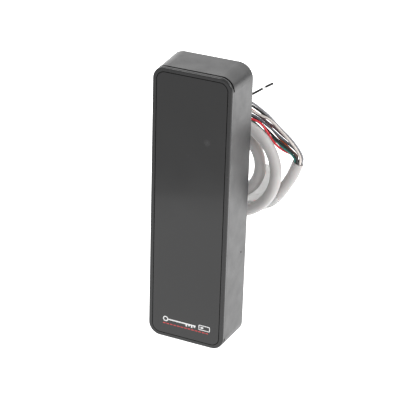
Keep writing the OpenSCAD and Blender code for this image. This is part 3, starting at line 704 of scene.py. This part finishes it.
# The label: where its edges cross the cable, counted from the start of the tail, and its far edge
TAIL_LENGTH = 51.8 * MM
LABEL_FROM = 8.5 * MM
LABEL_TO = 30.6 * MM
LABEL_CORNER = MM * np.array([17.6, 17.0, 13.6])
LABEL_FAR_EDGE = MM * np.array([8.9, 0.0, 2.0])
# Its depth behind the wall, how far apart its halves lie, how far from the cable they meet, its
# stock, its radius round the cable, and the angles in degrees between which it follows the cable
LABEL_Y = 17.05 * MM
LABEL_GAP = 0.12 * MM
LABEL_PARTS = 6.2 * MM
LABEL_STOCK = 0.11 * MM
LABEL_WRAP = CABLE_D / 2 + 0.09 * MM
LABEL_TURN = (62.0, 298.0)


def label_points(line):
    """Grid of the label: one row for each place across it, each row running round the cable.

    Across the cable the sheet comes in flat, slopes up over the front of the cable, goes round it and
    runs back flat behind itself; along the cable this section is carried from one edge to the other.
    """
    tail_start = arc_length(line)[-1] - TAIL_LENGTH
    across = np.linspace(0.0, 1.0, 15)
    base = at_distance(line, tail_start + LABEL_FROM + (LABEL_TO - LABEL_FROM) * across)
    tangent = np.gradient(base, axis=0)
    tangent /= np.linalg.norm(tangent, axis=1)[:, None]
    outward = LABEL_CORNER + across[:, None] * LABEL_FAR_EDGE - base
    outward[:, 1] = 0.0
    reach = np.linalg.norm(outward, axis=1)
    outward /= reach[:, None]
    lean = np.sqrt(1 - np.einsum("ij,ij->i", outward, tangent) ** 2)
    turn = np.radians(np.linspace(*LABEL_TURN, 25))
    rounds = np.cos(turn)[None, :] * LABEL_WRAP / lean[:, None]
    depth = base[:, 1, None] - np.sin(turn)[None, :] * LABEL_WRAP
    front = LABEL_PARTS + (reach[:, None] - LABEL_PARTS) * np.linspace(1.0, 0.0, 12)[None, :]
    level = np.full_like(front, LABEL_Y - LABEL_GAP / 2)
    along = np.concatenate([front, rounds, front[:, ::-1]], axis=1)
    points = base[:, None, :] + along[:, :, None] * outward[:, None, :]
    points[:, :, 1] = np.concatenate([level, depth, level + LABEL_GAP], axis=1)
    return points


def make_label(line):
    """Label wrapped round the cable and stuck to itself as a flag, of thin stock."""
    points = label_points(line)
    rows, columns, _ = points.shape
    i, j = np.meshgrid(np.arange(rows - 1), np.arange(columns - 1), indexing="ij")
    quads = np.stack([i * columns + j, i * columns + j + 1, (i + 1) * columns + j + 1,
                      (i + 1) * columns + j], axis=-1).reshape(-1, 4)
    made = add_mesh("cable_label", points.reshape(-1, 3), quads.tolist(), [label_paper()])
    skin = made.modifiers.new("stock", "SOLIDIFY")
    skin.thickness = LABEL_STOCK
    skin.offset = 0.0
    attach(made, "bracket")
    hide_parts("cable_flag")
    return made


# ---- Printed mark ----

MARK_LEFT = -12.4 * MM
MARK_RIGHT = 13.4 * MM
MARK_Z = -61.45 * MM
INK_T = 0.02 * MM
# The key: its bow and the hole in it, half the thickness of its shaft, and its four teeth
BOW = 1.45 * MM
BOW_HOLE = 0.62 * BOW
SHAFT = 0.36 * MM
TEETH = 4
TOOTH_FIRST = 2.2 * MM
TOOTH_PITCH = 1.5 * MM
TOOTH_HALF = 0.4 * MM
TOOTH_SHORT = 1.0 * MM
TOOTH_LONG = 1.4 * MM
# The card: its width, the width of its rim, and the ends and half height of the chip on it
CARD_W = 6.2 * MM
CARD_X = MARK_RIGHT - CARD_W
CARD_RIM = 0.42 * MM
CHIP_FROM = 1.1 * MM
CHIP_TO = 2.6 * MM
CHIP_HALF = 0.5 * MM
KEY_TO_CARD = 1.6 * MM
DASH = 1.5 * MM
DASH_GAP = 0.45 * MM
DASH_H = 0.55 * MM
DASH_DROP = 1.35 * MM


def ring_outline(x, z, radius, sides=40):
    """Points of a circle in the plane of the panel."""
    angle = 2 * math.pi * np.arange(sides) / sides
    return np.stack([x + radius * np.cos(angle), z + radius * np.sin(angle)], axis=1)


def bar_outline(x0, x1, z0, z1, round_by):
    """Points of an upright rectangle with round corners."""
    corner = np.radians(np.arange(0, 91, 15))
    parts = []
    for k, (x, z) in enumerate(((x1, z1), (x0, z1), (x0, z0), (x1, z0))):
        cx = x - round_by if x == x1 else x + round_by
        cz = z - round_by if z == z1 else z + round_by
        turn = corner + k * math.pi / 2
        parts.append(np.stack([cx + round_by * np.cos(turn), cz + round_by * np.sin(turn)], axis=1))
    return np.vstack(parts)


def ink_band(outer, inner, y):
    """Thin closed band between two outlines with the same number of points, standing on the panel."""
    count = len(outer)
    levels = [(outer, y), (outer, y - INK_T), (inner, y - INK_T), (inner, y)]
    points = np.vstack([np.stack([o[:, 0], np.full(count, d), o[:, 1]], axis=1) for o, d in levels])
    j = np.arange(count)
    after = (j + 1) % count
    faces = []
    for k in range(4):
        low, high = k * count, ((k + 1) % 4) * count
        faces.append(np.stack([low + j, high + j, high + after, low + after], axis=1))
    return points, np.vstack(faces).tolist()


def ink_patch(outline, y):
    """Thin closed patch inside an outline, standing on the panel."""
    middle = outline.mean(axis=0)
    return ink_band(outline, middle + (outline - middle) * 1e-3, y)


def printed_shape(name, shapes, material):
    """Patches and bands of ink as one piece."""
    points, faces, count = [], [], 0
    for corners, sides in shapes:
        faces += [[v + count for v in face] for face in sides]
        count += len(corners)
        points.append(corners)
    made = add_mesh(name, np.vstack(points), faces, [material], smooth=False)
    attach(made, "case")
    return made


def key_shapes(y):
    """The key: a ring for its bow, a long shaft, and teeth of two lengths by turns under its end."""
    key_x = MARK_LEFT + BOW
    shapes = [ink_band(ring_outline(key_x, MARK_Z, BOW), ring_outline(key_x, MARK_Z, BOW_HOLE), y),
              ink_patch(bar_outline(key_x + 0.95 * BOW, CARD_X - KEY_TO_CARD, MARK_Z - SHAFT,
                                    MARK_Z + SHAFT, 0.2 * MM), y)]
    for step in range(TEETH):
        x = CARD_X - TOOTH_FIRST - TOOTH_PITCH * step
        drop = TOOTH_LONG if step % 2 else TOOTH_SHORT
        shapes.append(ink_patch(bar_outline(x - TOOTH_HALF, x + TOOTH_HALF, MARK_Z - drop,
                                            MARK_Z - SHAFT, 0.1 * MM), y))
    return shapes


def card_shapes(y):
    """The card: a rim with round corners, and a chip inside it."""
    outer = bar_outline(CARD_X, MARK_RIGHT, MARK_Z - BOW, MARK_Z + BOW, 0.5 * MM)
    inner = bar_outline(CARD_X + CARD_RIM, MARK_RIGHT - CARD_RIM, MARK_Z - BOW + CARD_RIM,
                        MARK_Z + BOW - CARD_RIM, 0.15 * MM)
    chip = bar_outline(CARD_X + CHIP_FROM, CARD_X + CHIP_TO, MARK_Z - CHIP_HALF, MARK_Z + CHIP_HALF,
                       0.15 * MM)
    return [ink_band(outer, inner, y), ink_patch(chip, y)]


def dash_shapes(y):
    """As many whole dashes as fit the width of the mark, in a row under it."""
    low = MARK_Z - BOW - DASH_DROP
    pitch = DASH + DASH_GAP
    count = int((MARK_RIGHT - MARK_LEFT + DASH_GAP) // pitch)
    starts = [MARK_LEFT + k * pitch for k in range(count)]
    return [ink_patch(bar_outline(x, x + DASH, low, low + DASH_H, 0.12 * MM), y) for x in starts]


def make_mark(y):
    """A key beside a card in white ink, over a row of red dashes."""
    shapes = key_shapes(y) + card_shapes(y)
    printed_shape("printed_key_mark", shapes, printed("white_ink", (0.85, 0.85, 0.85)))
    printed_shape("printed_red_line", dash_shapes(y), printed("red_ink", (0.55, 0.05, 0.055)))


# ---- The carried-over parts ----

def finish_nodes():
    """Gives every CAD node that is shown the finish of its real material."""
    case = case_plastic()
    bezel = bezel_plastic()
    steel = plated_steel()
    package = moulded("chip_resin", (0.012, 0.012, 0.012), (0.028, 0.028, 0.03), rough=(0.45, 0.6),
                      grain=5000.0).material
    nylon = moulded("nylon_natural", (0.66, 0.62, 0.50), (0.76, 0.72, 0.62), rough=(0.35, 0.5)).material
    acrylic = clear_acrylic()
    foam = moulded("foam_tape", (0.70, 0.70, 0.64), (0.82, 0.82, 0.77), rough=(0.7, 0.85),
                   grain=1500.0, depth=0.00008).material
    finishes = {
        "wall_bracket": steel, "locking_screw": steel, "pcb_screws": steel, "cover_screws": steel,
        "tab_insert": knurled_brass(), "main_housing": case, "rear_cover": case,
        "bezel_frame": bezel, "front_panel": panel_gloss(), "panel_adhesive": foam,
        "led_light_pipe": acrylic, "tamper_light_pipe": acrylic, "antenna_bobbin": nylon,
        "wire_header": nylon, "crimp_plug": nylon, "antenna_winding": wound_copper(),
        "main_pcb": solder_mask(), "controller_chip": package, "radio_chip": package,
        "voltage_regulator": package, "power_inductor": package, "tamper_sensor": package,
        "buzzer": package, "clock_crystal": drawn_aluminium(),
        "reservoir_capacitors": drawn_aluminium(),
        "status_led": moulded("led_package", (0.75, 0.74, 0.66), (0.85, 0.84, 0.78)).material,
        "vent_membrane": rubber("membrane_felt", (0.72, 0.72, 0.72), (0.84, 0.84, 0.84)),
        "tamper_reflector": label_paper(),
        "inner_leads": insulation("lead_insulation", (0.55, 0.04, 0.05)),
        "inner_jacket": moulded("inner_vinyl", (0.50, 0.48, 0.47), (0.56, 0.54, 0.53)).material,
        "cable_grommet": rubber("grommet_rubber", (0.013, 0.013, 0.013), (0.024, 0.024, 0.024)),
        "seal_gasket": rubber("gasket_foam", (0.07, 0.07, 0.075), (0.12, 0.12, 0.125)),
    }
    for name, material in finishes.items():
        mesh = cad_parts[name].data
        mesh.materials.clear()
        mesh.materials.append(material)


# ---- Floor, sky and lamps ----

FLOOR_Z = -0.18
FLOOR_HALF = 6.0
# The board brightens along a level direction: past its front edge, then again behind the reader
BRIGHTENS = (0.38, 0.925, 0.0)
BOARD_EDGE = (-0.418, -0.408)
BOARD_BEHIND = (-0.05, 0.35)
# The sky's brightness by height, then where the room turns bright behind and pale on the left
SKY_LEVELS = ((0.0, 0.10), (0.16, 0.12), (0.30, 0.85), (0.62, 0.80), (1.0, 0.50))
SKY_BEHIND = (-0.4, 0.6)
SKY_LEFT = (-0.42, -0.56)
SCREEN = (1.1, 1.1, 1.1, 1.0)


def floor_finish():
    """Pale board that glows as painted light: brightest behind the reader, dimmer past its front edge."""
    made = Finish("glowing_board")
    along = made.tree.nodes.new("ShaderNodeVectorMath")
    along.operation = "DOT_PRODUCT"
    along.inputs[1].default_value = BRIGHTENS
    made.tree.links.new(made.coords.outputs["Object"], along.inputs[0])
    near = made.spread(along.outputs["Value"], 0.30, 0.85, *BOARD_EDGE)
    behind = made.spread(along.outputs["Value"], 0.0, 0.95, *BOARD_BEHIND)
    total = made.tree.nodes.new("ShaderNodeMath")
    total.operation = "ADD"
    made.tree.links.new(near, total.inputs[0])
    made.tree.links.new(behind, total.inputs[1])
    # Painted light: the floor glows according to its position, without being lit by any lamp.
    made.tree.links.new(total.outputs["Value"], made.shader.inputs["Emission Strength"])
    made.shader.inputs["Emission Color"].default_value = (1.0, 1.0, 1.0, 1.0)
    made.shader.inputs["Base Color"].default_value = (0.5, 0.5, 0.5, 1.0)
    made.shader.inputs["Roughness"].default_value = 0.7
    made.shader.inputs["Specular IOR Level"].default_value = 0.0
    return made.material


def make_floor():
    """Wide pale floor some way below the reader, which hangs clear of it."""
    half = FLOOR_HALF
    corners = np.array([[-half, -half, FLOOR_Z], [half, -half, FLOOR_Z], [half, half, FLOOR_Z],
                        [-half, half, FLOOR_Z]])
    floor = add_mesh("pale_floor", corners, [[0, 1, 2, 3]], [floor_finish()], smooth=False)


def make_sky():
    """Soft room light: bright behind, calmer overhead and in front, with a dark gap at the horizon.

    The gap closes towards the left, where a pale screen stands.
    """
    world = bpy.data.worlds.new("studio")
    world.use_nodes = True
    bpy.context.scene.world = world
    tree = world.node_tree
    background = tree.nodes["Background"]
    coords = tree.nodes.new("ShaderNodeTexCoord")
    split = tree.nodes.new("ShaderNodeSeparateXYZ")
    ramp = tree.nodes.new("ShaderNodeValToRGB")
    tree.links.new(coords.outputs["Generated"], split.inputs["Vector"])
    tree.links.new(split.outputs["Z"], ramp.inputs["Fac"])
    steps = ramp.color_ramp.elements
    for height, _ in SKY_LEVELS[1:-1]:
        steps.new(height)
    for step, (height, level) in zip(steps, SKY_LEVELS):
        step.position = height
        step.color = (level, level, level, 1.0)
    side = ranged(tree, split.outputs["Y"], 0.9, 2.1, *SKY_BEHIND)
    left = ranged(tree, split.outputs["X"], 0.0, 1.0, *SKY_LEFT)
    screen = tree.nodes.new("ShaderNodeMix")
    screen.data_type = "RGBA"
    screen.inputs[MIX_SECOND].default_value = SCREEN
    tree.links.new(left, screen.inputs[MIX_SHARE])
    tree.links.new(ramp.outputs["Color"], screen.inputs[MIX_FIRST])
    tree.links.new(screen.outputs[MIX_RESULT], background.inputs["Color"])
    tree.links.new(side, background.inputs["Strength"])


def make_softbox(name, direction, distance, size, watts):
    """Square soft lamp in a direction from the reader, facing it."""
    data = bpy.data.lights.new(name, "AREA")
    data.size = size
    data.energy = watts
    lamp = bpy.data.objects.new(name, data)
    back = np.array(direction, float)
    back /= np.linalg.norm(back)
    level = np.cross([0.0, 0.0, 1.0], back)
    level /= np.linalg.norm(level)
    place = np.eye(4)
    place[:3, 0] = level
    place[:3, 1] = np.cross(back, level)
    place[:3, 2] = back
    place[:3, 3] = distance * back
    lamp.matrix_world = Matrix(place.tolist())
    bpy.context.scene.collection.objects.link(lamp)


def make_studio():
    """Floor, room light, the lamp high in front and a softer one from the right."""
    make_floor()
    make_sky()
    make_softbox("key_softbox", (-0.375, -0.444, 0.813), 1.1, 0.42, 3.0)
    make_softbox("side_softbox", (0.86, -0.16, 0.48), 1.1, 0.5, 4.5)
    bpy.context.scene.view_settings.view_transform = "Standard"


def make_reader():
    """The cable, its conductors, the label and the printed mark, round the CAD parts."""
    line = cable_line()
    make_jacket(line)
    strand = tinned_copper()
    for colour, tone in WIRE_COLOURS.items():
        make_conductor(colour, insulation("insulation_" + colour, tone), strand)
    make_label(line)
    low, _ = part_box("front_panel")
    make_mark(low.y)
    finish_nodes()


make_camera()
make_reader()
make_studio()
